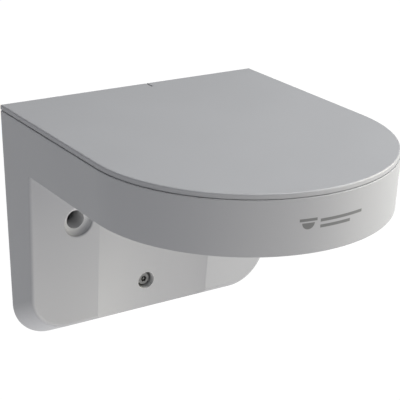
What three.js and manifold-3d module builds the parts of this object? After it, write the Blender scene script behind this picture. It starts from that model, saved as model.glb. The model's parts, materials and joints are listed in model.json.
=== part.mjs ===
// L-shaped wall bracket for a dome camera: a D-shaped hollow shelf with a lift-off cover,
// carried by a hollow wall leg that screws onto a rear plate. Millimetres, +Z up.
// The origin is the middle of the rear plate's wall face, and the shelf reaches out along -Y.
import * as THREE from 'three';
import { mergeVertices } from 'three/addons/utils/BufferGeometryUtils.js';
import Module from 'manifold-3d';

const wasm = await Module();
wasm.setup();

// ---- driving dimensions ----
const WIDTH = 150; // across the cover's straight sides
const REACH = 174.4; // wall face to the nose of the cover
const TOP = 65; // top of the cover above the origin
const COVER_T = 2.8; // cover plate
const SEAM = 0.5; // shadow gap between the cover and the rim
const SHELF_H = 28.5; // top of the cover to the rim's lower edge
const LEG_DROP = 116.8; // top of the cover to the leg's lower front edge
const LEG_T_TOP = 30.9; // leg's depth from the wall, under the shelf
const LEG_T_FOOT = 24.6; // leg's depth at its lower front edge
const FOOT_SLOPE = 0.554; // rise of the leg's foot for each millimetre away from the wall
const FOOT_R = 21.2; // round lower corners of the leg
const SIDE_DRAFT = 0.031; // narrowing of each side for each millimetre below the top
const WALL = 4; // rim wall
const FLOOR = 3.5; // shelf floor over the camera plate
const SEAT = 3; // depth of the round seat for the camera plate
const GAP = 0.3; // clearance between touching pieces
const GASKET_T = 1.2; // wall gasket
const OVERHANG = 0.4; // cover beyond the rim

// ---- derived places ----
const HALF = WIDTH / 2;
const AXIS_Y = -(REACH - HALF); // camera's axis, and centre of the round nose
const BACK_Y = -(GASKET_T + GAP); // back edge of the casting
const RIM_TOP = TOP - COVER_T - SEAM;
const RIM_LOW = TOP - SHELF_H;
const COVER_LOW = TOP - COVER_T;
const FLOOR_TOP = RIM_LOW + SEAT + FLOOR;
const FOOT_FRONT = TOP - LEG_DROP;
const FRONT_SLOPE = (LEG_T_TOP - LEG_T_FOOT) / (RIM_LOW - FOOT_FRONT);
const FOOT_BACK = FOOT_FRONT - FOOT_SLOPE * LEG_T_FOOT;
const CAVITY_Y = -14; // front of the leg's hollow
const CAVITY_TOP = RIM_LOW - 2.5;
const LEG_DEEP = -40; // the leg's block before its front face is trimmed
const BEYOND = 150; // reach of a trimming block past the part
const ROUND = 16; // segments in a small full circle
const NOSE_STEPS = 32; // segments round the half-circle nose

// ---- screws and their places ----
const M4_R = 2; // shank
const M4_HEAD_R = 3.5;
const M4_HEAD_H = 4;
const HOLE_R = 2.4; // clearance hole
const LEG_SCREWS = [
  { name: 'upper_left', x: -46.4, z: TOP - 58 },
  { name: 'upper_right', x: 46.4, z: TOP - 58 },
  { name: 'lower', x: 0, z: TOP - 105.3 },
];
const SEAT_Y = -9; // where the leg screws' washers bear
const SUNK_R = 4.9; // counterbore of the leg screws
const DISH_R = 8; // wide recess round each upper screw
const DISH_DEPTH = 4;
const COLUMN_TOP = RIM_TOP - 7.7;
const COVER_SCREWS = [
  { name: 'back_left', x: -61, y: -45 },
  { name: 'back_right', x: 61, y: -45 },
  { name: 'front_left', x: -39.9, y: AXIS_Y - 47.4 },
  { name: 'front_right', x: 39.9, y: AXIS_Y - 47.4 },
];
const COVER_SINK = 7.5; // counterbore under each cover screw
const COVER_SINK_R = 4.2;
const REBATE_DEPTH = 1.8; // step in the rim that holds the cover's gasket
const REBATE_Y = -3.5; // back edge of that step
const TRAY_Y = -5.5; // back wall of the shelf's tray
const CABLE_WAY_HALF = 28; // half width of the passage from the leg into the shelf
const CABLE_HOLE_R = 13; // hole in the shelf's floor
const POST_H = 6; // posts over the camera plate's screws
const LOW_POST_H = 4; // posts for the earth screw and the cable clips
const PLATE_R = 51.5; // camera plate
const PLATE_T = 2.4;
const PLATE_SCREW_PCR = 44;
const CAMERA_HOLE_PCR = 30;
const PLATE_CABLE_R = 18; // cable hole of the camera plate
const REAR_T = 2; // rear plate
const WALL_HOLE = { z: 18, r: 12 }; // cable hole of the rear plate
const WALL_SLOTS = [[-28, 22], [28, 22], [-40, -34], [40, -34]]; // x and z of the anchor slots
const SLOT_R = 2.8;
const EARTH = { x: 48, y: -70 };
const CLIPS = [
  { name: 'left', x: -30, y: -26, turn: Math.PI },
  { name: 'right', x: 30, y: -26, turn: 0 },
];

// ---- solids ----
function solid(geometry) {
  const bare = geometry.clone();
  bare.deleteAttribute('normal');
  bare.deleteAttribute('uv');
  const merged = mergeVertices(bare, 1e-4);
  const vertProperties = new Float32Array(merged.attributes.position.array);
  const triVerts = new Uint32Array(merged.index.array);
  return new wasm.Manifold(new wasm.Mesh({ numProp: 3, vertProperties, triVerts }));
}

function geometryOf(manifold) {
  const mesh = manifold.getMesh();
  const geometry = new THREE.BufferGeometry();
  geometry.setAttribute('position', new THREE.BufferAttribute(new Float32Array(mesh.vertProperties), 3));
  geometry.setIndex(new THREE.BufferAttribute(new Uint32Array(mesh.triVerts), 1));
  geometry.computeVertexNormals();
  return geometry;
}

function joined(solids) {
  return solids.reduce((sum, next) => sum.add(next));
}

function cutFrom(base, cutters) {
  return cutters.reduce((rest, next) => rest.subtract(next), base);
}

// ---- small geometry makers ----
function slab(shape, low, high, curveSegments = 12) {
  const settings = { depth: high - low, bevelEnabled: false, curveSegments };
  return new THREE.ExtrudeGeometry(shape, settings).translate(0, 0, low);
}

// A shape drawn in X and Z, extruded from yFar (away from the wall) to yNear.
function panel(shape, yFar, yNear, curveSegments = 8) {
  const settings = { depth: yNear - yFar, bevelEnabled: false, curveSegments };
  return new THREE.ExtrudeGeometry(shape, settings).rotateX(Math.PI / 2).translate(0, yNear, 0);
}

function postZ(x, y, low, high, radius, segments = ROUND) {
  const post = new THREE.CylinderGeometry(radius, radius, high - low, segments);
  return post.rotateX(Math.PI / 2).translate(x, y, (low + high) / 2);
}

function postY(x, z, yFar, yNear, radius, segments = ROUND) {
  const post = new THREE.CylinderGeometry(radius, radius, yNear - yFar, segments);
  return post.translate(x, (yFar + yNear) / 2, z);
}

function box(x0, x1, y0, y1, z0, z1) {
  const block = new THREE.BoxGeometry(x1 - x0, y1 - y0, z1 - z0);
  return block.translate((x0 + x1) / 2, (y0 + y1) / 2, (z0 + z1) / 2);
}

// Turned piece about Z from [radius, height] points that close on themselves or on the axis.
function turned(points, segments = ROUND) {
  const profile = points.map(([r, z]) => new THREE.Vector2(r, z));
  return new THREE.LatheGeometry(profile, segments).rotateX(Math.PI / 2);
}

function ring(inner, outer, low, high, segments = ROUND) {
  const points = [[inner, low], [outer, low], [outer, high], [inner, high], [inner, low]];
  return turned(points, segments);
}

// D outline seen from above: straight back, straight sides and a round nose.
function dShape(inset, backY) {
  const r = HALF - inset;
  const shape = new THREE.Shape();
  shape.moveTo(-r, backY);
  shape.lineTo(-r, AXIS_Y);
  shape.absarc(0, AXIS_Y, r, Math.PI, 2 * Math.PI, false);
  shape.lineTo(r, backY);
  shape.closePath();
  return shape;
}

// Outline seen from the front, with two round lower corners.
function footShape(half, top, low, radius) {
  const shape = new THREE.Shape();
  const flare = SIDE_DRAFT * (top - low - radius);
  shape.moveTo(-half - flare, top);
  shape.lineTo(-half, low + radius);
  shape.absarc(-half + radius, low + radius, radius, Math.PI, 1.5 * Math.PI, false);
  shape.absarc(half - radius, low + radius, radius, 1.5 * Math.PI, 2 * Math.PI, false);
  shape.lineTo(half + flare, top);
  shape.closePath();
  return shape;
}

function roundedPlate(half, low, high, radius) {
  const shape = new THREE.Shape();
  shape.absarc(half - radius, high - radius, radius, 0, Math.PI / 2, false);
  shape.absarc(-half + radius, high - radius, radius, Math.PI / 2, Math.PI, false);
  shape.absarc(-half + radius, low + radius, radius, Math.PI, 1.5 * Math.PI, false);
  shape.absarc(half - radius, low + radius, radius, 1.5 * Math.PI, 2 * Math.PI, false);
  shape.closePath();
  return shape;
}

// Casting draft: every point moves towards the middle in proportion to its depth below the top.
function drafted(geometry) {
  const p = geometry.attributes.position;
  for (let i = 0; i < p.count; i += 1) {
    const scale = 1 - (SIDE_DRAFT * (TOP - p.getZ(i))) / HALF;
    p.setX(i, p.getX(i) * scale);
    if (p.getY(i) < AXIS_Y) {
      p.setY(i, AXIS_Y + (p.getY(i) - AXIS_Y) * scale);
    }
  }
  return geometry;
}

// The leg's foot rises as it leaves the wall.
function raked(geometry) {
  const p = geometry.attributes.position;
  for (let i = 0; i < p.count; i += 1) {
    p.setZ(i, p.getZ(i) - FOOT_SLOPE * p.getY(i));
  }
  return geometry;
}

// ---- bracket body ----
function shelfSolid() {
  return solid(drafted(slab(dShape(OVERHANG, BACK_Y), RIM_LOW, RIM_TOP, NOSE_STEPS)));
}

function legSolid() {
  const spare = 0.8; // trimmed off by the drafted sides
  const buried = RIM_LOW + 1.5; // the leg runs up into the shelf's floor
  const half = HALF - OVERHANG - SIDE_DRAFT * (LEG_DROP - FOOT_R) + spare;
  const outline = footShape(half, buried, FOOT_BACK, FOOT_R + spare);
  const block = solid(raked(panel(outline, LEG_DEEP, BACK_Y)));
  const side = HALF - OVERHANG;
  const flanks = solid(drafted(box(-side, side, -BEYOND / 2, 0, -BEYOND, RIM_TOP)));
  const face = box(-BEYOND, BEYOND, -BEYOND, 0, -BEYOND, BEYOND / 2);
  face.rotateX(Math.atan(FRONT_SLOPE)).translate(0, -LEG_T_TOP, RIM_LOW);
  return block.intersect(flanks).subtract(solid(face));
}

// Round hollow in the leg's front that clears the camera's dome, leaning like the front face.
function domeHollow() {
  const radius = 80.5;
  const sagitta = 7.5; // depth of the hollow at its middle
  const lean = (3.4 * Math.PI) / 180;
  const levelZ = -36.4; // height at which the depth is measured
  const frontY = -LEG_T_TOP + FRONT_SLOPE * (RIM_LOW - levelZ);
  const tube = new THREE.CylinderGeometry(radius, radius, 2 * BEYOND, 120).rotateX(Math.PI / 2);
  tube.rotateX(lean).translate(0, frontY + sagitta - radius, levelZ);
  return solid(tube).intersect(solid(box(-HALF, HALF, -HALF, 0, -BEYOND, RIM_LOW)));
}

function trayHollow() {
  const inner = solid(slab(dShape(OVERHANG + WALL, TRAY_Y), FLOOR_TOP, RIM_TOP + 1, NOSE_STEPS));
  const step = dShape(OVERHANG + WALL / 2, REBATE_Y);
  const rebate = solid(slab(step, RIM_TOP - REBATE_DEPTH, RIM_TOP + 1, NOSE_STEPS));
  return inner.add(rebate);
}

function legHollow() {
  const inset = 10; // side wall with its draft
  const low = FOOT_BACK + 13;
  const room = solid(panel(footShape(HALF - inset, CAVITY_TOP, low, 15), CAVITY_Y, 1));
  const half = CABLE_WAY_HALF;
  const cableWay = solid(box(-half, half, CAVITY_Y, TRAY_Y - 0.5, CAVITY_TOP - 1, FLOOR_TOP + 1));
  return room.add(cableWay);
}

function legBosses() {
  const bossY = -5; // the bosses stop clear of the rear plate's nuts
  return LEG_SCREWS.map(({ x, z }) => solid(postY(x, z, CAVITY_Y - 1, bossY, DISH_R)));
}

function legHoles() {
  const cuts = [];
  for (const { name, x, z } of LEG_SCREWS) {
    cuts.push(solid(postY(x, z, -HALF, SEAT_Y, SUNK_R, 24)));
    cuts.push(solid(postY(x, z, -HALF, 1, HOLE_R)));
    if (name !== 'lower') {
      const frontY = -LEG_T_TOP + FRONT_SLOPE * (RIM_LOW - z);
      cuts.push(solid(postY(x, z, -HALF, frontY + DISH_DEPTH, DISH_R, 28)));
    }
  }
  return cuts;
}

function plateScrewPlaces() {
  return [45, 135, 225, 315].map((degrees) => {
    const turn = (degrees * Math.PI) / 180;
    const x = PLATE_SCREW_PCR * Math.cos(turn);
    return { degrees, x, y: AXIS_Y + PLATE_SCREW_PCR * Math.sin(turn) };
  });
}

function shelfPosts() {
  const posts = COVER_SCREWS.map(({ x, y }) => solid(postZ(x, y, FLOOR_TOP - 1, COLUMN_TOP, 5.5)));
  for (const { x, y } of plateScrewPlaces()) {
    posts.push(solid(postZ(x, y, FLOOR_TOP - 1, FLOOR_TOP + POST_H, 4.2)));
  }
  for (const { x, y } of [EARTH, ...CLIPS]) {
    posts.push(solid(postZ(x, y, FLOOR_TOP - 1, FLOOR_TOP + LOW_POST_H, 4.5)));
  }
  return posts;
}

function shelfHoles() {
  const seatR = PLATE_R + 0.5;
  const cuts = [solid(postZ(0, AXIS_Y, RIM_LOW - 1, RIM_LOW + SEAT, seatR, 48))];
  cuts.push(solid(postZ(0, AXIS_Y, RIM_LOW - 1, FLOOR_TOP + 1, CABLE_HOLE_R, 24)));
  for (const { x, y } of COVER_SCREWS) {
    cuts.push(solid(postZ(x, y, RIM_LOW - 1, RIM_LOW + COVER_SINK, COVER_SINK_R)));
    cuts.push(solid(postZ(x, y, RIM_LOW - 1, RIM_TOP, HOLE_R)));
  }
  for (const { x, y } of plateScrewPlaces()) {
    cuts.push(solid(postZ(x, y, RIM_LOW - 1, FLOOR_TOP + POST_H - 2, 2)));
  }
  for (const { x, y } of [EARTH, ...CLIPS]) {
    cuts.push(solid(postZ(x, y, FLOOR_TOP - 2, FLOOR_TOP + LOW_POST_H + 1, 2.1)));
  }
  return cuts;
}

function bracketBody() {
  const shell = shelfSolid().add(legSolid().subtract(domeHollow()));
  const hollowed = cutFrom(shell, [trayHollow(), legHollow()]);
  const bossed = joined([hollowed, ...legBosses(), ...shelfPosts()]);
  return geometryOf(cutFrom(bossed, [...legHoles(), ...shelfHoles()]));
}

// ---- cover ----
function topCover() {
  const backY = -0.4; // just clear of the wall
  const ribLow = COVER_LOW - 3.5;
  const rooted = COVER_LOW + 0.5; // lip, bosses and ribs run into the plate
  const plate = solid(slab(dShape(0, backY), COVER_LOW, TOP, NOSE_STEPS));
  const lipOut = solid(slab(dShape(WALL + 0.9, -6), COVER_LOW - 6, rooted, NOSE_STEPS));
  const lipIn = solid(slab(dShape(WALL + 2.5, -7.6), COVER_LOW - 7, COVER_LOW, NOSE_STEPS));
  const lip = lipOut.subtract(lipIn);
  const bosses = COVER_SCREWS.map(({ x, y }) => {
    return solid(postZ(x, y, COLUMN_TOP + GAP, rooted, 5));
  });
  const ribs = [-22, 22].map((x) => solid(box(x - 1, x + 1, -160, -7, ribLow, rooted)));
  ribs.push(solid(box(-69, 69, -95, -93, ribLow, rooted)));
  const blind = COVER_SCREWS.map(({ x, y }) => solid(postZ(x, y, COLUMN_TOP - 1, COVER_LOW - 0.8, 2.3)));
  const prySlot = solid(box(8, 9, -7.4, 1, TOP - 0.8, TOP + 1));
  return geometryOf(cutFrom(joined([plate, lip, ...bosses, ...ribs]), [...blind, prySlot]));
}

function coverGasket() {
  const low = RIM_TOP - REBATE_DEPTH + GAP;
  const high = COVER_LOW - GAP;
  const outside = solid(slab(dShape(OVERHANG + WALL / 2 + GAP, REBATE_Y - GAP), low, high, NOSE_STEPS));
  const inside = solid(slab(dShape(OVERHANG + WALL, -5.2), low - 1, high + 1, NOSE_STEPS));
  return geometryOf(outside.subtract(inside));
}

// ---- screws ----
function sixLobes(outer, inner) {
  const shape = new THREE.Shape();
  for (let i = 0; i < 12; i += 1) {
    const turn = (i * Math.PI) / 6;
    const r = i % 2 === 0 ? outer : inner;
    const put = i === 0 ? 'moveTo' : 'lineTo';
    shape[put](r * Math.cos(turn), r * Math.sin(turn));
  }
  shape.closePath();
  return shape;
}

// Cap head with a six-lobed tamper-proof socket; the head's face looks along -Z from z = 0.
function capScrew(headR, headH, shankR, shankL) {
  const edge = 0.4;
  const points = [[0, 0], [headR - edge, 0], [headR, edge], [headR, headH], [shankR, headH]];
  points.push([shankR, headH + shankL - 0.5], [shankR - 0.5, headH + shankL], [0, headH + shankL]);
  const blank = solid(turned(points));
  const socket = solid(slab(sixLobes(1.95, 1.4), -1, 2));
  const pin = solid(postZ(0, 0, 0.3, 2.2, 0.5, 8));
  return geometryOf(blank.subtract(socket).add(pin));
}

function countersunkScrew() {
  const points = [[0, 0], [3.6, 0], [3.6, 0.3], [1.6, 2.2], [1.6, 8.5], [0, 8.5]];
  const cross = [box(-1.9, 1.9, -0.4, 0.4, -1, 1.2), box(-0.4, 0.4, -1.9, 1.9, -1, 1.2)];
  return geometryOf(cutFrom(solid(turned(points)), cross.map(solid)));
}

function panScrew(length) {
  const points = [[0, -length], [1.7, -length], [1.7, 0], [3.6, 0], [3.6, 1.2], [2.9, 2.1], [0, 2.4]];
  const cross = [box(-1.9, 1.9, -0.4, 0.4, 1.2, 3), box(-0.4, 0.4, -1.9, 1.9, 1.2, 3)];
  return geometryOf(cutFrom(solid(turned(points)), cross.map(solid)));
}

// ---- wall side ----
function rearPlate() {
  const plate = solid(panel(roundedPlate(60, -46, 31, 8), -REAR_T, 0));
  const nuts = LEG_SCREWS.map(({ x, z }) => solid(postY(x, z, -4.7, -1, 5)));
  const holes = LEG_SCREWS.map(({ x, z }) => solid(postY(x, z, -6, 1, 2.3)));
  holes.push(solid(postY(0, WALL_HOLE.z, -6, 1, WALL_HOLE.r, 24)));
  for (const [x, z] of WALL_SLOTS) {
    const slot = joined([-3, 0, 3].map((step) => solid(postY(x + step, z, -6, 1, SLOT_R))));
    holes.push(slot);
  }
  return geometryOf(cutFrom(joined([plate, ...nuts]), holes));
}

function wallGasket() {
  const low = FOOT_BACK + 0.8;
  const outside = solid(panel(footShape(HALF - 5, TOP - 4, low, FOOT_R - 1), -GASKET_T, 0));
  const inside = solid(panel(footShape(HALF - 12, TOP - 9, low + 10, 14), -GASKET_T - 1, 1));
  return geometryOf(outside.subtract(inside));
}

function bushGrommet(neckR, flangeR, boreR, neckL) {
  const points = [[boreR, 0], [neckR, 0], [neckR, neckL], [flangeR, neckL], [flangeR, neckL + 1.4]];
  points.push([boreR + 1.5, neckL + 2.6], [boreR, neckL + 2.2], [boreR, 0]);
  return turned(points, 20);
}

// ---- camera side ----
function cameraPlate() {
  const plate = solid(postZ(0, AXIS_Y, RIM_LOW + GAP, RIM_LOW + GAP + PLATE_T, PLATE_R, 48));
  const cuts = [solid(postZ(0, AXIS_Y, 0, TOP, PLATE_CABLE_R, 24))];
  for (const { x, y, degrees } of plateScrewPlaces()) {
    const sink = turned([[0, -1], [3.95, -1], [3.95, 0.4], [2, 2.4], [2, 5], [0, 5]]);
    cuts.push(solid(sink.translate(x, y, RIM_LOW + GAP)));
    const turn = (degrees * Math.PI) / 180;
    const holeX = CAMERA_HOLE_PCR * Math.cos(turn);
    const holeY = AXIS_Y + CAMERA_HOLE_PCR * Math.sin(turn);
    cuts.push(solid(postZ(holeX, holeY, 0, TOP, 2.2)));
  }
  return geometryOf(cutFrom(plate, cuts));
}

// Saddle that holds the cable down beside its screw.
function cableClip() {
  const strip = new THREE.Shape();
  strip.moveTo(-5, 0);
  strip.lineTo(6.8, 0);
  strip.lineTo(6.8, 1.6);
  strip.absarc(11.5, 1.6, 4.7, Math.PI, 0, true);
  strip.lineTo(18, 1.6);
  strip.absarc(11.5, 1.6, 6.5, 0, Math.PI, false);
  strip.lineTo(-5, 1.6);
  strip.closePath();
  const settings = { depth: 8, bevelEnabled: false, curveSegments: 8 };
  const body = new THREE.ExtrudeGeometry(strip, settings).translate(0, 0, -4).rotateX(Math.PI / 2);
  return geometryOf(solid(body).subtract(solid(postZ(0, 0, -1, 4, 2))));
}

// ---- finishes ----
function finish(color, roughness, metalness) {
  return new THREE.MeshStandardMaterial({ color, roughness, metalness });
}

const paint = () => finish(0xb4b5b6, 0.5, 0.0);
const steel = () => finish(0x9a9c9e, 0.35, 1.0);
const darkSteel = () => finish(0x4a4c4e, 0.4, 1.0);
const zincPlate = () => finish(0xb8bcc0, 0.4, 0.9);
const rubber = () => finish(0x2a2b2c, 0.85, 0.0);
const nylon = () => finish(0x303236, 0.6, 0.0);
const brassTone = () => finish(0xc0a050, 0.35, 0.9);

// ---- assembly ----
const bracket = new THREE.Group();
bracket.name = 'camera_wall_bracket';

function place(name, geometry, material, x = 0, y = 0, z = 0, turnX = 0) {
  const mesh = new THREE.Mesh(geometry, material);
  mesh.name = name;
  mesh.position.set(x, y, z);
  mesh.rotation.x = turnX;
  bracket.add(mesh);
  return mesh;
}

place('bracket_body', bracketBody(), paint());
place('top_cover', topCover(), paint());
place('cover_gasket', coverGasket(), rubber());
place('wall_gasket', wallGasket(), rubber());
place('rear_plate', rearPlate(), zincPlate());
place('camera_plate', cameraPlate(), zincPlate());

for (const { name, x, z } of LEG_SCREWS) {
  const headY = SEAT_Y - 2 * GAP - 1 - M4_HEAD_H;
  place(`leg_screw_${name}`, capScrew(M4_HEAD_R, M4_HEAD_H, M4_R, 9.4), steel(), x, headY, z, -Math.PI / 2);
  const washer = ring(M4_R + GAP, 4.5, 0, 1);
  place(`leg_washer_${name}`, washer, steel(), x, SEAT_Y - GAP - 1, z, -Math.PI / 2);
}

for (const { name, x, y } of COVER_SCREWS) {
  const ceiling = RIM_LOW + COVER_SINK;
  const headZ = ceiling - 2 * GAP - 1 - M4_HEAD_H;
  place(`cover_screw_${name}`, capScrew(M4_HEAD_R, M4_HEAD_H, M4_R, 18), steel(), x, y, headZ);
  place(`cover_screw_seal_${name}`, ring(M4_R + GAP, 3.9, 0, 1), rubber(), x, y, ceiling - GAP - 1);
}

for (const { degrees, x, y } of plateScrewPlaces()) {
  place(`camera_plate_screw_${degrees}`, countersunkScrew(), steel(), x, y, RIM_LOW + GAP + 0.05);
}

const wallBush = bushGrommet(WALL_HOLE.r - GAP, 14, 7, REAR_T + 0.1);
place('wall_cable_grommet', wallBush, rubber(), 0, -0.2, WALL_HOLE.z, Math.PI / 2);
const bushNeck = FLOOR + 0.2;
const shelfBush = bushGrommet(CABLE_HOLE_R - GAP, 16, 8, bushNeck);
place('shelf_cable_grommet', shelfBush, rubber(), 0, AXIS_Y, FLOOR_TOP + GAP - bushNeck);

const postTop = FLOOR_TOP + LOW_POST_H;
place('earth_washer', ring(2, 4.4, 0, 0.8), brassTone(), EARTH.x, EARTH.y, postTop + GAP);
place('earth_screw', panScrew(5.2), brassTone(), EARTH.x, EARTH.y, postTop + 1.1 + 2 * GAP);

for (const { name, x, y, turn } of CLIPS) {
  const clip = place(`cable_clip_${name}`, cableClip(), nylon(), x, y, postTop + GAP);
  clip.rotation.z = turn;
  place(`cable_clip_screw_${name}`, panScrew(6.2), darkSteel(), x, y, postTop + 1.6 + 2 * GAP);
}

export default bracket;
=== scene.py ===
# %% [markdown]
# # A wall bracket for a dome camera
# The object is an L-shaped aluminium casting with a grey powder coat. A hollow shelf, round at the
# nose, carries the camera from below. A loose cover closes the shelf from above, and a leg
# underneath takes the screws that hold everything to a plate on the wall. The CAD model fixes where
# each part is, so the first step is to load it and to keep its box.

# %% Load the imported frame
import json
import math

import bpy
from mathutils import Matrix, Vector

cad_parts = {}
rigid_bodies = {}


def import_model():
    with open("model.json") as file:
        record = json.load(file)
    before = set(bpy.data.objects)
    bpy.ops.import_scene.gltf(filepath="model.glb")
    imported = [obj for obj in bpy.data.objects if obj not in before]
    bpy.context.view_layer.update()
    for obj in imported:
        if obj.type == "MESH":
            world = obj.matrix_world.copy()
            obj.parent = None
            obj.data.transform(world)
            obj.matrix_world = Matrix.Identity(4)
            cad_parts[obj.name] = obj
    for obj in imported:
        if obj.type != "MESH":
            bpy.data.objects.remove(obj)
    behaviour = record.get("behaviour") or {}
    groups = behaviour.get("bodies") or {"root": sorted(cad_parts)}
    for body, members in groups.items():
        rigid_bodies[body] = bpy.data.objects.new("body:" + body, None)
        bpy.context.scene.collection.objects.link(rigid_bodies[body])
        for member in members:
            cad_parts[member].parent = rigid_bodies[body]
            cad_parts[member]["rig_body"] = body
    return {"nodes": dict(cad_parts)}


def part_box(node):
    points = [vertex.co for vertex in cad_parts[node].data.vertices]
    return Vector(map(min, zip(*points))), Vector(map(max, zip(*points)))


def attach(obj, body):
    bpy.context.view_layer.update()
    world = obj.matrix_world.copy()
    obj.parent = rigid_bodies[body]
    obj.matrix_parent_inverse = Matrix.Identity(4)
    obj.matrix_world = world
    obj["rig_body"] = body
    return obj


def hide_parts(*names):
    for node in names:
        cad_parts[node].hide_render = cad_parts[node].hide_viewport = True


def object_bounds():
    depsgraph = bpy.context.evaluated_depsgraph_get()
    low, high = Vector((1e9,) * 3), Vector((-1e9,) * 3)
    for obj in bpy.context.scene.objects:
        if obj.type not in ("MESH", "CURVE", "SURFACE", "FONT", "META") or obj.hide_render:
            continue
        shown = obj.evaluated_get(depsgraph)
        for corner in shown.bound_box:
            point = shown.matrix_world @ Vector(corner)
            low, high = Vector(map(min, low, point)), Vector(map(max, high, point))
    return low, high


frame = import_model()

cad_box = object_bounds()
print("nodes in the frame:", len(frame["nodes"]))

# %% [markdown]
# ## Sizes
# The outer sizes are read from the boxes of the CAD nodes, so that the visible parts lie where the
# solid ones do. Thicknesses and draft angles are the founder's choices, in metres here. Draft is the
# slight taper that lets a casting leave its mould.

# %% Sizes from the frame
MM = 0.001
cover_lo, cover_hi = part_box("top_cover")
HALF = cover_hi.x  # half the width over the rim
AXIS_Y = cover_lo.y + HALF  # middle of the round nose
TOP = cover_hi.z
RIM_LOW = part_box("camera_plate")[0].z - 0.3 * MM
REBATE_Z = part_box("cover_gasket")[0].z - 0.3 * MM  # step that holds the gasket

COVER_HALF = HALF - 0.5 * MM
COVER_LOW = TOP - 2.5 * MM
RIM_TOP = COVER_LOW - 0.16 * MM  # the seam under the cover
FLOOR_TOP = RIM_LOW + 6.5 * MM
COLUMN_TOP = COVER_LOW - 8.2 * MM
BACK_Y = -1.5 * MM  # behind it lies the wall gasket
SIDE_DRAFT = 0.031
print(f"shelf {2 * HALF * 1000:.1f} mm wide, nose at y {cover_lo.y * 1000:.1f} mm")

# %% Sizes of the leg
FOOT_FRONT = TOP - 116.8 * MM  # foot's edge in front
FOOT_R = 21.2 * MM
FOOT_SLOPE = 0.554
LEG_TOP_Y = -30.9 * MM
LEG_FOOT_Y = -24.6 * MM
FRONT_SLOPE = (LEG_FOOT_Y - LEG_TOP_Y) / (RIM_LOW - FOOT_FRONT)
CAVITY_Y = -14 * MM  # front of the room inside
SCREW_SEAT_Y = -9 * MM
LEG_NAMES = ("upper_left", "upper_right", "lower")
WELL_R = 4.9 * MM  # well of a long screw
DISH_R = 7.8 * MM
DISH_DEEP = 4 * MM


def front_y(z):
    """The leg's leaning front at a height."""
    return LEG_TOP_Y + FRONT_SLOPE * (RIM_LOW - z)


# %% [markdown]
# ## Hand tools
# Modelling by hand is: take one object, choose some faces, edges or corners, and work on them. With
# no mouse, the choice is made by place and direction. `only` takes one object and leaves the rest
# alone. `pick` chooses inside it and stops if nothing was found, so that a slip shows at once.

# %% Choosing objects, faces, edges and corners
NEAR = 0.02 * MM


def clear():
    """Leaves edit mode and selects nothing, because a shape added in edit mode joins the open mesh."""
    if bpy.context.object and bpy.context.object.mode != "OBJECT":
        bpy.ops.object.mode_set(mode="OBJECT")
    bpy.ops.object.select_all(action="DESELECT")


def only(piece):
    """Makes this the one selected object."""
    clear()
    piece.select_set(True)
    bpy.context.view_layer.objects.active = piece


def pick(piece, kind, test):
    """Opens the piece in edit mode with the parts chosen for which test(place, direction) holds."""
    only(piece)
    bpy.ops.object.mode_set(mode="EDIT")
    bpy.ops.mesh.select_mode(type=kind)
    bpy.ops.mesh.select_all(action="DESELECT")
    bpy.ops.object.mode_set(mode="OBJECT")
    mesh = piece.data
    parts = {"FACE": mesh.polygons, "EDGE": mesh.edges, "VERT": mesh.vertices}[kind]
    found = 0
    for part in parts:
        if kind == "FACE":
            place, direction = part.center, part.normal
        elif kind == "EDGE":
            a, b = (mesh.vertices[i].co for i in part.vertices)
            place, direction = (a + b) / 2, (b - a).normalized()
        else:
            place, direction = part.co, part.normal
        part.select = bool(test(place, direction))
        found += part.select
    if not found:
        raise ValueError(f"nothing to pick on {piece.name}")
    bpy.ops.object.mode_set(mode="EDIT")
    return found


def extrude(x=0.0, y=0.0, z=0.0):
    bpy.ops.mesh.extrude_region_move(TRANSFORM_OT_translate={"value": (x, y, z)})


def bevel(width, steps):
    bpy.ops.mesh.bevel(offset=width, segments=steps, affect="EDGES", clamp_overlap=False)


# %% [markdown]
# The first shapes are a block, a round bar and the D-shaped slab that both the shelf and its cover
# come from. The slab starts as a full disc. Its back half is cut away and the flat cut is pulled out
# to the wall, so the round nose and the straight sides meet without a step.

# %% First shapes
def settle(piece, name):
    """Moves the object's place, turn and scale into its mesh."""
    only(piece)
    bpy.ops.object.transform_apply(location=True, rotation=True, scale=True)
    piece.name = name
    piece.data.name = name
    return piece


def block(x0, x1, y0, y1, z0, z1):
    clear()
    middle = ((x0 + x1) / 2, (y0 + y1) / 2, (z0 + z1) / 2)
    bpy.ops.mesh.primitive_cube_add(size=1, location=middle, scale=(x1 - x0, y1 - y0, z1 - z0))
    return settle(bpy.context.object, "block")


def bar(x, y, z0, z1, radius, sides=48):
    """Upright round bar."""
    clear()
    middle = (x, y, (z0 + z1) / 2)
    bpy.ops.mesh.primitive_cylinder_add(vertices=sides, radius=radius, depth=z1 - z0, location=middle)
    return settle(bpy.context.object, "bar")


def wall_bar(x, z, y0, y1, radius, sides=48):
    """Round bar that points at the wall."""
    clear()
    middle, turn = (x, (y0 + y1) / 2, z), (math.pi / 2, 0, 0)
    bpy.ops.mesh.primitive_cylinder_add(
        vertices=sides, radius=radius, depth=y1 - y0, location=middle, rotation=turn)
    return settle(bpy.context.object, "bar")


def d_slab(half, back_y, low, high, sides=192):
    """Slab with a half-round nose, straight sides and a flat back."""
    piece = bar(0, AXIS_Y, low, high, half, sides)
    pick(piece, "FACE", lambda place, way: True)
    bpy.ops.mesh.bisect(plane_co=(0, AXIS_Y, 0), plane_no=(0, 1, 0), use_fill=True, clear_outer=True)
    pick(piece, "FACE", lambda place, way: way.y > 0.99)
    extrude(y=back_y - AXIS_Y)
    for sign in (1, -1):
        pick(piece, "FACE", lambda place, way: way.z * sign > 0.99)
        bpy.ops.mesh.dissolve_faces()
    return piece


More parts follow.
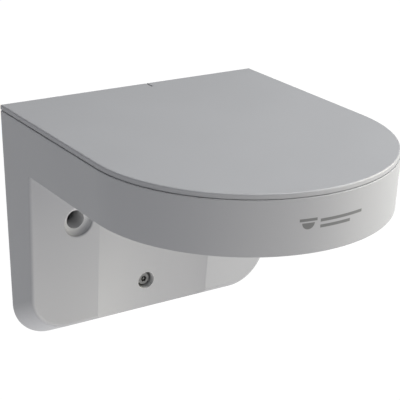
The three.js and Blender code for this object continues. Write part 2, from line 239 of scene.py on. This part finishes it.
def on_outline(place, half, slack=1 * MM):
    """True on the sides and the nose of a D outline, and false on its back and further in."""
    if place.y < AXIS_Y:
        return math.hypot(place.x, place.y - AXIS_Y) > half - slack
    return abs(place.x) > half - slack


# %% [markdown]
# Holes, pockets and bosses are cut or added with the exact Boolean. Tools that don't touch each
# other are gathered into one, which saves time. The last step on each part softens its shading:
# weighted normals keep broad faces flat and let only the narrow bevels turn.

# %% Cutting, adding and finishing
def gather(tools):
    only(tools[0])
    for tool in tools:
        tool.select_set(True)
    if len(tools) > 1:
        bpy.ops.object.join()
    return bpy.context.view_layer.objects.active


def work(piece, how, tools):
    """Adds the tools to the piece (UNION) or cuts them from it (DIFFERENCE)."""
    tool = gather(tools)
    only(piece)
    step = piece.modifiers.new("work", "BOOLEAN")
    step.operation = how
    step.solver = "EXACT"
    step.object = tool
    bpy.ops.object.modifier_apply(modifier=step.name)
    bpy.data.objects.remove(tool, do_unlink=True)


def smooth(piece, degrees=32):
    only(piece)
    bpy.ops.object.shade_smooth_by_angle(angle=math.radians(degrees))
    step = piece.modifiers.new("normals", "WEIGHTED_NORMAL")
    step.keep_sharp = True
    bpy.ops.object.modifier_apply(modifier=step.name)


def hand_over(piece, name, finish, body, slot, *nodes):
    """Names and paints the piece, and has it stand for its CAD nodes."""
    settle(piece, name)
    piece.data.materials.clear()
    piece.data.materials.append(finish)
    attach(piece, body)
    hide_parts(*nodes)
    print(f"{name}: {len(piece.data.polygons)} faces")


# %% [markdown]
# ## Finishes
# A `Wire` is one output of a shader node. It knows the arithmetic signs, so that a mask can be
# written as a formula. A `Finish` is a material being made. Its `add` takes a kind of node, its
# settings and what goes into its sockets. Patterns are laid on object coordinates, which are metres
# here, so a noise scale of 1000 has grains of about a millimetre.

# %% Shader arithmetic
class Wire:
    def __init__(self, finish, socket):
        self.finish = finish
        self.socket = socket

    def math(self, how, *others):
        return self.finish.add("ShaderNodeMath", {"operation": how}, dict(enumerate((self, *others))))

    def __add__(self, other):
        return self.math("ADD", other)

    __radd__ = __add__

    def __mul__(self, other):
        return self.math("MULTIPLY", other)

    def __sub__(self, other):
        return self.math("SUBTRACT", other)

    def __rsub__(self, other):
        return self.finish.add("ShaderNodeMath", {"operation": "SUBTRACT"}, {0: other, 1: self})

    def size(self):
        return self.math("ABSOLUTE")


class Finish:
    def __init__(self, name, roughness, metallic=0.0, specular=0.5):
        self.material = bpy.data.materials.new(name)
        self.material.use_nodes = True
        self.tree = self.material.node_tree
        self.shader = self.tree.nodes["Principled BSDF"]
        self.shader.inputs["Roughness"].default_value = roughness
        self.shader.inputs["Metallic"].default_value = metallic
        self.shader.inputs["Specular IOR Level"].default_value = specular
        self.place = self.add("ShaderNodeTexCoord", output="Object")

    def add(self, kind, settings=None, inputs=None, output=0):
        node = self.tree.nodes.new(kind)
        for key, value in (settings or {}).items():
            setattr(node, key, value)
        for key, value in (inputs or {}).items():
            self.join(node.inputs[key], value)
        return Wire(self, node.outputs[output])

    def join(self, socket, value):
        if isinstance(value, Wire):
            self.tree.links.new(value.socket, socket)
        else:
            socket.default_value = value

    def noise(self, scale, detail=2.0):
        inputs = {"Vector": self.place, "Scale": scale, "Detail": detail}
        return self.add("ShaderNodeTexNoise", {}, inputs, "Fac")

    def mix(self, share, a, b):
        """Colour a where share is 0 and colour b where it is 1."""
        return self.add("ShaderNodeMix", {"data_type": "RGBA"}, {0: share, 6: a, 7: b}, 2)

    def shade(self, colour, spread, pattern):
        """The colour, darker and lighter by spread as the pattern goes from 0 to 1."""
        low = [c * (1 - spread) for c in colour] + [1]
        high = [min(c * (1 + spread), 1) for c in colour] + [1]
        return self.mix(pattern, low, high)

    def xyz(self):
        parts = self.add("ShaderNodeSeparateXYZ", {}, {0: self.place}).socket.node
        return (Wire(self, output) for output in parts.outputs)

    def bump(self, height, distance, strength):
        inputs = {"Height": height, "Distance": distance, "Strength": strength}
        return self.add("ShaderNodeBump", {}, inputs)

    def done(self, colour, roughness, normal=None):
        self.join(self.shader.inputs["Base Color"], colour)
        self.join(self.shader.inputs["Roughness"], roughness)
        if normal is not None:
            self.join(self.shader.inputs["Normal"], normal)
        return self.material


# %% [markdown]
# The powder coat is satin and light grey. Baked powder has a faint orange peel, ripples under a
# millimetre across that a lamp's reflection shows, and the gloss drifts a little where hands have
# been. The deep screw wells, and more weakly the dishes round the upper two, are painted a much
# lighter grey: painted light that brightens these recesses where the lamps leave them in shade. The
# nose carries a small mark in print: a picture of a dome camera and two plain bars. It is drawn with
# distances along the round nose and in height, so it stays sharp at any resolution.

# %% Coat colours and masks
GREY = (0.268, 0.273, 0.293)
PAINTED_WELL_LIGHT = (0.52, 0.525, 0.54, 1)
PRINT_GREY = (0.078, 0.08, 0.085, 1)
SOFT_EDGE = 0.1 * MM


def inside(finish, *distances):
    """1 where every distance is positive and 0 outside, with a thin soft edge."""
    nearest = distances[0]
    for distance in distances[1:]:
        nearest = nearest.math("MINIMUM", distance)
    return finish.add("ShaderNodeMath", {"operation": "MULTIPLY", "use_clamp": True},
                      {0: nearest, 1: 1 / SOFT_EDGE})


# %% Printed mark on the nose
ICON_S, ICON_Z = -14 * MM, 52.2 * MM  # along the nose and up
ICON_HALF, ICON_LINE, ICON_DROP, DOME_MARK_R = 4.2 * MM, 0.7 * MM, 1.3 * MM, 3.0 * MM
BARS = [(51.3 * MM, 11.5 * MM, 3.2 * MM), (48.6 * MM, 8.0 * MM, -0.3 * MM)]  # height, half, middle
BAR_LINE = 0.75 * MM


def nose_print(finish):
    """Mask of a dome camera's picture and two bars, on the shelf's nose."""
    x, y, z = finish.xyz()
    along = x.math("ARCTAN2", AXIS_Y - y) * HALF
    across, drop = along - ICON_S, z - (ICON_Z - ICON_DROP)
    lid = inside(finish, ICON_HALF - across.size(), ICON_LINE - (z - ICON_Z).size())
    dome = inside(finish, DOME_MARK_R - (across * across + drop * drop).math("SQRT"), 0 - drop)
    mask = lid.math("MAXIMUM", dome)
    for height, half, middle in BARS:
        bar_mark = inside(finish, half - (along - middle).size(), BAR_LINE - (z - height).size())
        mask = mask.math("MAXIMUM", bar_mark)
    return mask * (0 - y).math("GREATER_THAN", -AXIS_Y)


# %% Painted light in the screw wells
LIGHT_FROM_DEPTH = 0.9 * MM  # depth below the leg's front where the dishes' painted light starts
DISH_LIGHT_SHARE = 0.6
ROOM_Y = -7 * MM  # behind it no light is painted


def painted_well_light(finish):
    """Mask of painted light: the leg's screw wells and, more weakly, the dishes round the upper two.
    """
    x, y, z = finish.xyz()
    depth = y - LEG_TOP_Y - (RIM_LOW - z) * FRONT_SLOPE
    masks = []
    for name in LEG_NAMES:
        lo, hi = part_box(f"leg_screw_{name}")
        across, rise = x - (lo.x + hi.x) / 2, z - (lo.z + hi.z) / 2
        off = (across * across + rise * rise).math("SQRT")
        masks.append(inside(finish, WELL_R + SOFT_EDGE - off))
        if name != "lower":
            masks.append(inside(finish, DISH_R + 0.4 * MM - off, depth - LIGHT_FROM_DEPTH) * DISH_LIGHT_SHARE)
    mask = masks[0]
    for other in masks[1:]:
        mask = mask.math("MAXIMUM", other)
    return mask * y.math("LESS_THAN", ROOM_Y)


# %% Powder coat
def powder_coat(name, print_and_well_light):
    coat = Finish(name, 0.45)
    drift = coat.noise(28, 3)
    speck = coat.noise(2600, 1)
    colour = coat.shade(GREY, 0.02, drift)
    colour = coat.mix(speck * 0.1, colour, [c * 0.82 for c in GREY] + [1])
    if print_and_well_light:
        # Painted light: the wells and dishes get a much lighter grey, which brightens recesses that
        # the lamps leave in shade.
        colour = coat.mix(painted_well_light(coat), colour, PAINTED_WELL_LIGHT)
        colour = coat.mix(nose_print(coat) * 0.9, colour, PRINT_GREY)
    peel = coat.bump(coat.noise(1100, 1.5), 0.02 * MM, 0.35)
    return coat.done(colour, 0.4 + drift * 0.1 + speck * 0.04, peel)


# The casting's coat carries the painted light in its screw wells. The cover's coat does not.
COAT_AND_WELL_LIGHT = powder_coat("powder_coat", True)
COVER_PAINT = powder_coat("cover_powder_coat", False)

# %% [markdown]
# Metals keep the marks of how they were made. A turned head has fine rings, plated sheet has a
# slightly cloudy sheen with rolling lines, and the brass has dulled in places. Rubber and nylon are
# dark, with moulded grain and a little dust.

# %% Metals
def metal(name, colour, roughness, cloud, fine_scale, fine_depth):
    finish = Finish(name, roughness, 1.0)
    patches = finish.noise(cloud, 4)
    fine = finish.noise(fine_scale, 2)
    tint = finish.shade(colour, 0.08, patches)
    rough = roughness - 0.08 + patches * 0.14 + fine * 0.05
    return finish.done(tint, rough, finish.bump(fine, fine_depth, 0.4))


STAINLESS = metal("stainless_steel", (0.19, 0.19, 0.188), 0.30, 300, 6000, 0.008 * MM)
DARK_STEEL = metal("blackened_steel", (0.10, 0.10, 0.105), 0.38, 250, 5000, 0.01 * MM)
ZINC = metal("zinc_plated_sheet", (0.60, 0.62, 0.64), 0.34, 70, 2500, 0.01 * MM)
BRASS = metal("plain_brass", (0.62, 0.44, 0.18), 0.32, 200, 5000, 0.008 * MM)


# %% Rubber and nylon
def moulded(name, colour, roughness, grain, depth, dust):
    finish = Finish(name, roughness, 0.0, 0.35)
    patches = finish.noise(60, 4)
    grains = finish.noise(grain, 2)
    tint = finish.mix(patches * dust, [*colour, 1], (0.16, 0.155, 0.15, 1))
    return finish.done(tint, roughness - 0.05 + patches * 0.12, finish.bump(grains, depth, 0.5))


RUBBER = moulded("moulded_rubber", (0.022, 0.022, 0.023), 0.78, 1500, 0.04 * MM, 0.12)
NYLON = moulded("black_nylon", (0.028, 0.028, 0.030), 0.5, 2200, 0.02 * MM, 0.08)
print("finishes:", len(bpy.data.materials))

# %% [markdown]
# ## The casting: shelf
# The shelf is the D slab with draft on its sides. Two insets and two extrusions downwards make the
# step for the gasket and the tray under it. The draft is given by narrowing each level a little:
# sideways everywhere, and front to back only at the nose, so the flat back stays on its plane.

# %% Shelf of the casting
def narrowed(z):
    """Half width's share at a height, from the draft of the sides."""
    return 1 - SIDE_DRAFT * (TOP - z) / HALF


casting = d_slab(HALF, BACK_Y, RIM_LOW, RIM_TOP)
for level in (RIM_LOW, RIM_TOP):
    share = narrowed(level)
    pick(casting, "VERT", lambda p, n: abs(p.z - level) < NEAR)
    bpy.ops.transform.resize(value=(share, 1, 1), center_override=(0, 0, 0))
    pick(casting, "VERT", lambda p, n: abs(p.z - level) < NEAR and p.y < AXIS_Y - NEAR)
    bpy.ops.transform.resize(value=(1, share, 1), center_override=(0, AXIS_Y, 0))

pick(casting, "FACE", lambda p, n: n.z > 0.99)
bpy.ops.mesh.inset(thickness=2 * MM)
extrude(z=REBATE_Z - RIM_TOP)
bpy.ops.mesh.inset(thickness=2 * MM)
extrude(z=FLOOR_TOP - REBATE_Z)
print(f"tray {1000 * (RIM_TOP - FLOOR_TOP):.1f} mm deep")

# %% [markdown]
# ## The casting: leg
# The leg grows out of the shelf's underside, so its sides are flush with the shelf and no seam can
# show. The underside is divided where the leg's front will be, and the back strip is pulled down.
# Its front leans back a little, its two lower corners are rounded, and its foot slopes down towards
# the wall. The corners are rounded before the foot is sloped, which keeps them round from the front.

# %% Leg of the casting
pick(casting, "FACE", lambda p, n: n.z < -0.99 and p.z < RIM_LOW + NEAR)
bpy.ops.mesh.bisect(plane_co=(0, LEG_TOP_Y, 0), plane_no=(0, 1, 0))
pick(casting, "FACE", lambda p, n: n.z < -0.99 and p.z < RIM_LOW + NEAR and p.y > LEG_TOP_Y)
extrude(z=FOOT_FRONT - RIM_LOW)
share = narrowed(FOOT_FRONT) / narrowed(RIM_LOW)
bpy.ops.transform.resize(value=(share, 1, 1), center_override=(0, 0, 0))
pick(casting, "VERT", lambda p, n: p.z < FOOT_FRONT + NEAR and p.y < LEG_TOP_Y + NEAR)
bpy.ops.transform.translate(value=(0, LEG_FOOT_Y - LEG_TOP_Y, 0))

tangent = FOOT_R / math.tan((math.pi / 2 + math.atan(SIDE_DRAFT)) / 2)
pick(casting, "EDGE", lambda p, n: p.z < FOOT_FRONT + NEAR and abs(n.y) > 0.9)
bevel(tangent, 24)
rake = FOOT_SLOPE * (BACK_Y - LEG_FOOT_Y)
pick(casting, "VERT", lambda p, n: p.z < FOOT_FRONT + FOOT_R + 1 * MM and p.y > BACK_Y - NEAR)
bpy.ops.transform.translate(value=(0, 0, -rake))
bpy.ops.transform.resize(value=(1 - SIDE_DRAFT * rake / HALF, 1, 1), center_override=(0, 0, 0))
foot_back = FOOT_FRONT - rake
print(f"leg's foot at z {1000 * FOOT_FRONT:.1f} mm in front, {1000 * foot_back:.1f} mm behind")

# %% [markdown]
# Powder coat can't cover a sharp corner, so a founder rounds every outer edge. The leg's front gets a
# generous round, and the shelf's lower edge and the rim under the cover only a third of a millimetre.


# %% Rounded edges of the casting
def on_leg_front(p, n):
    return p.z < RIM_LOW - NEAR and abs(p.y - front_y(p.z)) < NEAR


def on_shelf_edge(p, n):
    return abs(p.z - RIM_LOW) < NEAR and p.y < LEG_TOP_Y - 1 * MM and on_outline(p, HALF, 2 * MM)


print("leg edges:", pick(casting, "EDGE", on_leg_front))
bevel(1.8 * MM, 5)
print("shelf edges:", pick(casting, "EDGE", on_shelf_edge))
bevel(0.35 * MM, 2)
on_rim = pick(casting, "EDGE", lambda p, n: p.z > RIM_TOP - NEAR and on_outline(p, HALF))
print("rim edges:", on_rim)
bevel(0.4 * MM, 3)

# %% [markdown]
# The leg's front has a round hollow that clears the camera's dome. It is a shallow slice of a wide
# cylinder round the camera's axis, leaning like the front does. The cylinder is cut off level with
# the shelf's underside so that the shelf stays whole.

# %% Hollow for the dome
DOME_R = 74 * MM
DOME_DEEP = 8.2 * MM
DOME_LEVEL = -36.4 * MM
LEAN = math.radians(3.4)
hollow = bar(0, 0, -150 * MM, 150 * MM, DOME_R, 256)
spot = Vector((0, front_y(DOME_LEVEL) + DOME_DEEP - DOME_R, DOME_LEVEL))
hollow.matrix_world = Matrix.Translation(spot) @ Matrix.Rotation(LEAN, 4, "X")
settle(hollow, "hollow")
pick(hollow, "FACE", lambda p, n: True)
bpy.ops.mesh.bisect(plane_co=(0, 0, RIM_LOW), plane_no=(0, 0, 1), use_fill=True, clear_outer=True)
work(casting, "DIFFERENCE", [hollow])

# %% [markdown]
# ## The casting: inside
# Behind the leg's front is a room for the cable's bend, open to the wall, with a passage up into the
# tray. Round bosses stand in it for the three long screws. In the tray stand four tall columns for
# the cover's screws and lower posts for the camera plate, the earth screw and the cable clips.

# %% Room, passage and seat
low = FOOT_FRONT + FOOT_SLOPE * LEG_FOOT_Y + 13 * MM
room = block(-65 * MM, 65 * MM, CAVITY_Y, 1 * MM, low, RIM_LOW - 2.5 * MM)
pick(room, "EDGE", lambda p, n: p.z < low + NEAR and abs(n.y) > 0.9)
bevel(15 * MM, 12)
passage = block(-28 * MM, 28 * MM, CAVITY_Y + 0.5 * MM, -6 * MM, RIM_LOW - 5 * MM, FLOOR_TOP + 1 * MM)
work(room, "UNION", [passage])
seat = bar(0, AXIS_Y, RIM_LOW - 1 * MM, RIM_LOW + 3 * MM, 52 * MM, 128)
work(casting, "DIFFERENCE", [room])
work(casting, "DIFFERENCE", [seat])

# %% Places of the screws
def middle_of(node):
    lo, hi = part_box(node)
    return (lo + hi) / 2


LEG_PLACES = [middle_of(f"leg_screw_{n}") for n in LEG_NAMES]
CORNERS = ("back_left", "back_right", "front_left", "front_right")
COVER_PLACES = [middle_of(f"cover_screw_{n}") for n in CORNERS]
PLATE_PLACES = [middle_of(f"camera_plate_screw_{n}") for n in (45, 135, 225, 315)]
LOW_POSTS = [middle_of(n) for n in ("earth_screw", "cable_clip_screw_left", "cable_clip_screw_right")]
print("screws in all:", len(LEG_PLACES + COVER_PLACES + PLATE_PLACES + LOW_POSTS))

# %% Bosses, columns and posts
SUNK = 1 * MM  # added shapes start this far inside the metal
BOSS_R, COLUMN_R, POST_R, LOW_POST_R = 8 * MM, 5.5 * MM, 4.2 * MM, 4.5 * MM
POST_TOP, LOW_POST_TOP = FLOOR_TOP + 6 * MM, FLOOR_TOP + 4 * MM
root = FLOOR_TOP - SUNK
bosses = [wall_bar(p.x, p.z, CAVITY_Y - SUNK, -5 * MM, BOSS_R) for p in LEG_PLACES]
columns = [bar(p.x, p.y, root, COLUMN_TOP, COLUMN_R, 32) for p in COVER_PLACES]
posts = [bar(p.x, p.y, root, POST_TOP, POST_R, 32) for p in PLATE_PLACES]
posts += [bar(p.x, p.y, root, LOW_POST_TOP, LOW_POST_R, 32) for p in LOW_POSTS]
work(casting, "UNION", bosses + columns + posts)

# %% Screw holes
LONG_R, PLATE_HOLE_R, LOW_HOLE_R, CABLE_R = 2.4 * MM, 2 * MM, 2.1 * MM, 13 * MM
OUTSIDE_Y = -70 * MM  # well in front of the leg
holes = [wall_bar(p.x, p.z, OUTSIDE_Y, 1 * MM, LONG_R, 32) for p in LEG_PLACES]
holes += [bar(p.x, p.y, RIM_LOW - 2 * MM, COLUMN_TOP + 1 * MM, LONG_R, 32) for p in COVER_PLACES]
holes += [bar(p.x, p.y, RIM_LOW + 1 * MM, FLOOR_TOP + 4 * MM, PLATE_HOLE_R, 24) for p in PLATE_PLACES]
holes += [bar(p.x, p.y, FLOOR_TOP - 2 * MM, FLOOR_TOP + 5 * MM, LOW_HOLE_R, 24) for p in LOW_POSTS]
holes += [bar(0, AXIS_Y, RIM_LOW - 1 * MM, FLOOR_TOP + 1 * MM, CABLE_R, 64)]
work(casting, "DIFFERENCE", holes)

# %% Wells for the screw heads
LOW_WELL_R, LOW_WELL_TOP = 4.2 * MM, RIM_LOW + 7.5 * MM
wells = [wall_bar(p.x, p.z, OUTSIDE_Y - 1 * MM, SCREW_SEAT_Y, WELL_R) for p in LEG_PLACES]
wells += [bar(p.x, p.y, RIM_LOW - 1 * MM, LOW_WELL_TOP, LOW_WELL_R) for p in COVER_PLACES]
work(casting, "DIFFERENCE", wells)

# %% Dishes round the upper two
UPPER_TWO = LEG_PLACES[:2]
dishes = []
for p in UPPER_TWO:
    dish_y = front_y(p.z) + DISH_DEEP
    dish = wall_bar(p.x, p.z, OUTSIDE_Y - 2 * MM, dish_y, DISH_R, 64)
    pick(dish, "EDGE", lambda q, n: q.y > dish_y - NEAR)
    bevel(2.6 * MM, 6)
    dishes.append(dish)
work(casting, "DIFFERENCE", dishes)


def on_dish_mouth(q, n):
    off_axis = min(math.hypot(q.x - p.x, q.z - p.z) for p in UPPER_TWO)
    return abs(q.y - front_y(q.z)) < NEAR and abs(off_axis - DISH_R) < 0.1 * MM


print("dish edges:", pick(casting, "EDGE", on_dish_mouth))
bevel(1.1 * MM, 4)
smooth(casting)
hand_over(casting, "bracket_casting", COAT_AND_WELL_LIGHT, "bracket", "paint", "bracket_body")

# %% [markdown]
# ## The cover
# The cover is a second D slab that stops half a millimetre short of the rim's outline. A lip under
# it drops inside the rim, three ribs stiffen it, and four bosses take the screws that come up from
# below. A thin slot in its back edge takes a blade to prise it off.

# %% Cover plate and lip
cover = d_slab(COVER_HALF, -0.4 * MM, COVER_LOW, TOP)
pick(cover, "EDGE", lambda p, n: p.z > TOP - NEAR)
bevel(0.7 * MM, 4)
pick(cover, "EDGE", lambda p, n: p.z < COVER_LOW + NEAR)
bevel(0.25 * MM, 2)
LIP_HALF, LIP_BACK, LIP_T = HALF - 4.9 * MM, -6 * MM, 1.6 * MM
lip = d_slab(LIP_HALF, LIP_BACK, COVER_LOW - 6 * MM, COVER_LOW + 0.6 * MM)
bore = d_slab(LIP_HALF - LIP_T, LIP_BACK - LIP_T, COVER_LOW - 7 * MM, COVER_LOW + 1 * MM)
work(lip, "DIFFERENCE", [bore])
work(cover, "UNION", [lip])

# %% Ribs, bosses and pry slot of the cover
RIB_X, RIB_HALF = 22 * MM, 1 * MM
rib_low, rooted = COVER_LOW - 3.5 * MM, COVER_LOW + 0.7 * MM
for x in (-RIB_X, RIB_X):
    rib = block(x - RIB_HALF, x + RIB_HALF, -160 * MM, -7 * MM, rib_low, rooted)
    work(cover, "UNION", [rib])
step = 0.1 * MM  # keeps the crossing ribs' faces off one plane
cross_rib = block(-69 * MM, 69 * MM, -95 * MM, -93 * MM, rib_low + step, rooted + step)
work(cover, "UNION", [cross_rib])
nut_low = COLUMN_TOP + 0.3 * MM
nuts = [bar(p.x, p.y, nut_low, COVER_LOW + 0.8 * MM, 5 * MM, 32) for p in COVER_PLACES]
work(cover, "UNION", nuts)
blind_low, blind_top = COLUMN_TOP - 1 * MM, COVER_LOW - 0.8 * MM
blind = [bar(p.x, p.y, blind_low, blind_top, 2.3 * MM, 24) for p in COVER_PLACES]
work(cover, "DIFFERENCE", blind)
pry_slot = block(8 * MM, 9 * MM, -7.4 * MM, 1 * MM, TOP - 0.8 * MM, TOP + 1 * MM)
work(cover, "DIFFERENCE", [pry_slot])
smooth(cover)
hand_over(cover, "cover_shell", COVER_PAINT, "cover", "paint", "top_cover")

# %% [markdown]
# ## Tamper-proof screws
# The long screws have a cap head with a six-lobed socket and a pin in its middle, so that only the
# fitter's key turns them. One is modelled with its face on the floor plane. The socket's cutter is a
# twelve-sided bar with every second corner pulled in and rounded.

# %% One six-lobed screw
HEAD_R, CORE_INSET, TIP = 3.5 * MM, 1.5 * MM, 0.5 * MM
KEY_R, LOBE_SHARE, PIN_R = 1.95 * MM, 0.72, 0.5 * MM


def lobed_screw(head_h, shank_l):
    screw = bar(0, 0, 0, head_h, HEAD_R)
    pick(screw, "FACE", lambda p, n: n.z > 0.99)
    bpy.ops.mesh.inset(thickness=CORE_INSET)
    extrude(z=shank_l - TIP)
    extrude(z=TIP)
    bpy.ops.transform.resize(value=(0.75, 0.75, 1), center_override=(0, 0, 0))
    pick(screw, "EDGE", lambda p, n: p.z < NEAR)
    bevel(0.45 * MM, 3)
    key = bar(0, 0, -1 * MM, 2 * MM, KEY_R, 12)
    pick(key, "VERT", lambda p, n: round(math.degrees(math.atan2(p.y, p.x)) / 30) % 2)
    bpy.ops.transform.resize(value=(LOBE_SHARE, LOBE_SHARE, 1), center_override=(0, 0, 0))
    pick(key, "EDGE", lambda p, n: abs(n.z) > 0.9)
    bevel(0.22 * MM, 3)
    work(screw, "DIFFERENCE", [key])
    work(screw, "UNION", [bar(0, 0, 1 * MM, 2.3 * MM, PIN_R, 16)])
    pick(screw, "FACE", lambda p, n: abs(p.z - 1 * MM) < NEAR and n.z < -0.99)
    extrude(z=-0.7 * MM)
    smooth(screw)
    return screw


def copy_to(piece, name, matrix):
    """A copy with its own mesh, turned and moved into place."""
    only(piece)
    bpy.ops.object.duplicate()
    other = bpy.context.object
    other.matrix_world = matrix
    return settle(other, name)


# %% Long screws in the leg and under the shelf
TO_WALL = Matrix.Rotation(-math.pi / 2, 4, "X")
HEAD_H = 4 * MM
leg_screw = lobed_screw(HEAD_H, 9.4 * MM)
for name, p in zip(LEG_NAMES, LEG_PLACES):
    node = f"leg_screw_{name}"
    spot = Matrix.Translation((p.x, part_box(node)[0].y, p.z)) @ TO_WALL
    made = copy_to(leg_screw, f"lobed_screw_leg_{name}", spot)
    hand_over(made, made.name, STAINLESS, "bracket", "stainless", node)
bpy.data.objects.remove(leg_screw, do_unlink=True)

cover_screw = lobed_screw(HEAD_H, 18 * MM)
for name, p in zip(CORNERS, COVER_PLACES):
    node = f"cover_screw_{name}"
    spot = Matrix.Translation((p.x, p.y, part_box(node)[0].z))
    made = copy_to(cover_screw, f"lobed_screw_cover_{name}", spot)
    hand_over(made, made.name, STAINLESS, f"screw_{name}", "stainless", node)
bpy.data.objects.remove(cover_screw, do_unlink=True)

# %% [markdown]
# ## Small parts
# Plates, seals, washers, grommets and clips already have their true shape in the CAD model. Each is
# copied, its loose triangles are merged and flat regions joined, and its edges get the small round
# that a punched, moulded or turned part has.

# %% Small parts from the frame
def dressed(node, edge):
    source = frame["nodes"][node]
    piece = bpy.data.objects.new(node + "_finished", source.data.copy())
    bpy.context.scene.collection.objects.link(piece)
    pick(piece, "VERT", lambda p, n: True)
    bpy.ops.mesh.remove_doubles(threshold=0.002 * MM)
    bpy.ops.mesh.dissolve_limited(angle_limit=math.radians(0.5))
    only(piece)
    if edge:
        step = piece.modifiers.new("edges", "BEVEL")
        step.width = edge
        step.segments = 2
        step.limit_method = "ANGLE"
        step.angle_limit = math.radians(50)
        bpy.ops.object.modifier_apply(modifier=step.name)
    smooth(piece, 35)
    return piece


SMALL = [
    ("rear_plate", ZINC, "zinc_plate", 0.15), ("camera_plate", ZINC, "zinc_plate", 0.15),
    ("cover_gasket", RUBBER, "rubber", 0.1), ("wall_gasket", RUBBER, "rubber", 0.1),
    ("wall_cable_grommet", RUBBER, "rubber", 0.15), ("shelf_cable_grommet", RUBBER, "rubber", 0.15),
    ("earth_washer", BRASS, "brass", 0.1), ("earth_screw", BRASS, "brass", 0.1),
    ("cable_clip_left", NYLON, "nylon", 0.15), ("cable_clip_right", NYLON, "nylon", 0.15),
    ("cable_clip_screw_left", DARK_STEEL, "dark_steel", 0.1),
    ("cable_clip_screw_right", DARK_STEEL, "dark_steel", 0.1),
]
SMALL += [(f"leg_washer_{n}", STAINLESS, "stainless", 0.1) for n in LEG_NAMES]
SMALL += [(f"cover_screw_seal_{n}", RUBBER, "rubber", 0.1) for n in CORNERS]
SMALL += [(f"camera_plate_screw_{n}", STAINLESS, "stainless", 0.1) for n in (45, 135, 225, 315)]
for node, finish, slot_name, edge in SMALL:
    body = frame["nodes"][node]["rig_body"]
    hand_over(dressed(node, edge * MM), node + "_finished", finish, body, slot_name, node)

# %% [markdown]
# ## Floor and light
# The studio is plain. A large pale floor lies well below the bracket and glows, as a lit white sweep
# does, so it brightens what faces down. A warm soft box close on the right makes the right of every
# face lighter. One hangs overhead and one high on the right, one fills in from the front, and a low
# one reaches under the shelf. The lamps themselves are hidden from the camera.

# %% Floor
FLOOR_Z = cad_box[0].z - 0.9
FLOOR_WIDE = 60
FLOOR_GLOW = 1.02
clear()
bpy.ops.mesh.primitive_plane_add(size=FLOOR_WIDE, location=(0, 0, FLOOR_Z))
floor = settle(bpy.context.object, "studio_floor")
sweep = Finish("pale_floor", 0.9, 0.0, 0.1)
sweep.shader.inputs["Emission Color"].default_value = (1, 1, 1, 1)
sweep.shader.inputs["Emission Strength"].default_value = FLOOR_GLOW
floor.data.materials.append(sweep.done((0.03, 0.03, 0.03, 1), 0.9))

world = bpy.data.worlds.new("studio")
bpy.context.scene.world = world
world.use_nodes = True
backdrop = world.node_tree.nodes["Background"]
backdrop.inputs["Color"].default_value = (0.95, 0.98, 1, 1)
backdrop.inputs["Strength"].default_value = 0.12


# %% Lamps
LAMP_SIDE, LAMP_AWAY = 0.5, 0.8
LIT_POINT = Vector((0, -0.08, 0))


def soft_box(name, azimuth, elevation, power, colour):
    """Square lamp that looks at the bracket. Azimuth 0 is in front, and 90 is on the right."""
    a, e = math.radians(azimuth), math.radians(elevation)
    way = Vector((math.sin(a) * math.cos(e), -math.cos(a) * math.cos(e), math.sin(e)))
    lamp = bpy.data.lights.new(name, "AREA")
    lamp.shape = "SQUARE"
    lamp.size = LAMP_SIDE
    lamp.energy = power
    lamp.color = colour
    holder = bpy.data.objects.new(name, lamp)
    bpy.context.scene.collection.objects.link(holder)
    holder.location = LIT_POINT + way * LAMP_AWAY
    holder.rotation_mode = "QUATERNION"
    holder.rotation_quaternion = (-way).to_track_quat("-Z", "Y")
    holder.visible_camera = False


soft_box("right_soft_box", 70, 20, 7.1, (1, 0.962, 0.825))
soft_box("high_right_soft_box", 60, 50, 4.05, (0.955, 0.978, 1))
soft_box("overhead_soft_box", -5, 84, 4.8, (1, 0.985, 0.95))
soft_box("front_fill", 35, 12, 2.35, (1, 0.95, 0.8))
soft_box("low_fill", -14, -55, 3.7, (1, 0.95, 0.87))
bpy.context.scene.view_settings.view_transform = "Standard"

# %% [markdown]
# ## Camera
# The camera stands a little above the bracket and to its left, about 0.7 m away, with a long lens.
# Its turn is given by the three directions of its own axes.

# %% Camera
EYE = Vector((-0.321442, -0.560326, 0.248515))
right = Vector((0.84181693, -0.53922816, 0.02402604))
up = Vector((0.17404547, 0.31330769, 0.93356653))
back = -Vector((0.51093291, 0.78171048, -0.35759794))
turn = Matrix((right, up, back)).transposed()
lens = bpy.data.cameras.new("camera")
lens.sensor_width, lens.lens = 36, 114.95  # millimetres
lens.clip_start, lens.clip_end = 0.01, 60
camera = bpy.data.objects.new("camera", lens)
bpy.context.scene.collection.objects.link(camera)
camera.matrix_world = Matrix.Translation(EYE) @ turn.to_4x4()
bpy.context.scene.camera = camera
